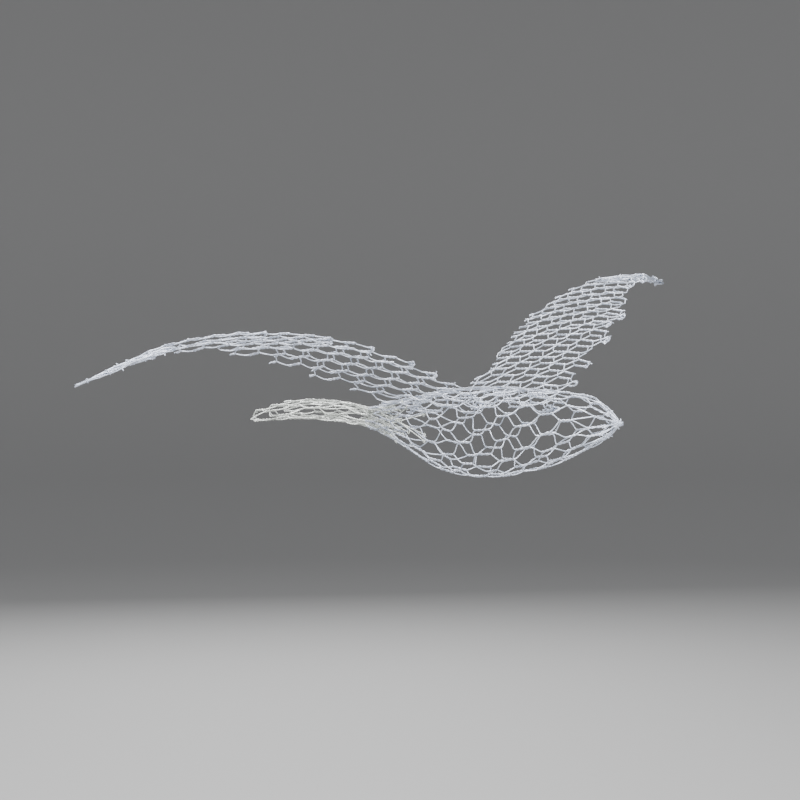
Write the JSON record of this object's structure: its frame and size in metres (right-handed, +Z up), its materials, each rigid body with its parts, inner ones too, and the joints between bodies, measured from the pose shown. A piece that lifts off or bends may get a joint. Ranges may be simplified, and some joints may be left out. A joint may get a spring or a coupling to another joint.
{
  "type": "wire netting bird sculpture",
  "caption": "Flying seabird shaped from galvanised hexagonal wire netting: hollow spindle body, long two-layer wings swept back and a flat fan tail; hangs from its back.",
  "frame": {"origin": "the hanging point on the bird's back, above the middle of the body", "axes": "+X towards the beak, +Y towards the bird's left wing, +Z up"},
  "size_m": [0.2287, 0.4153, 0.099],
  "materials": {
    "galvanised_wire": "dull zinc coating"
  },
  "bodies": {
    "root": {"body_net": "galvanised_wire", "right_wing_net": "galvanised_wire", "left_wing_net": "galvanised_wire", "tail_net": "galvanised_wire"}
  },
  "joints": []
}
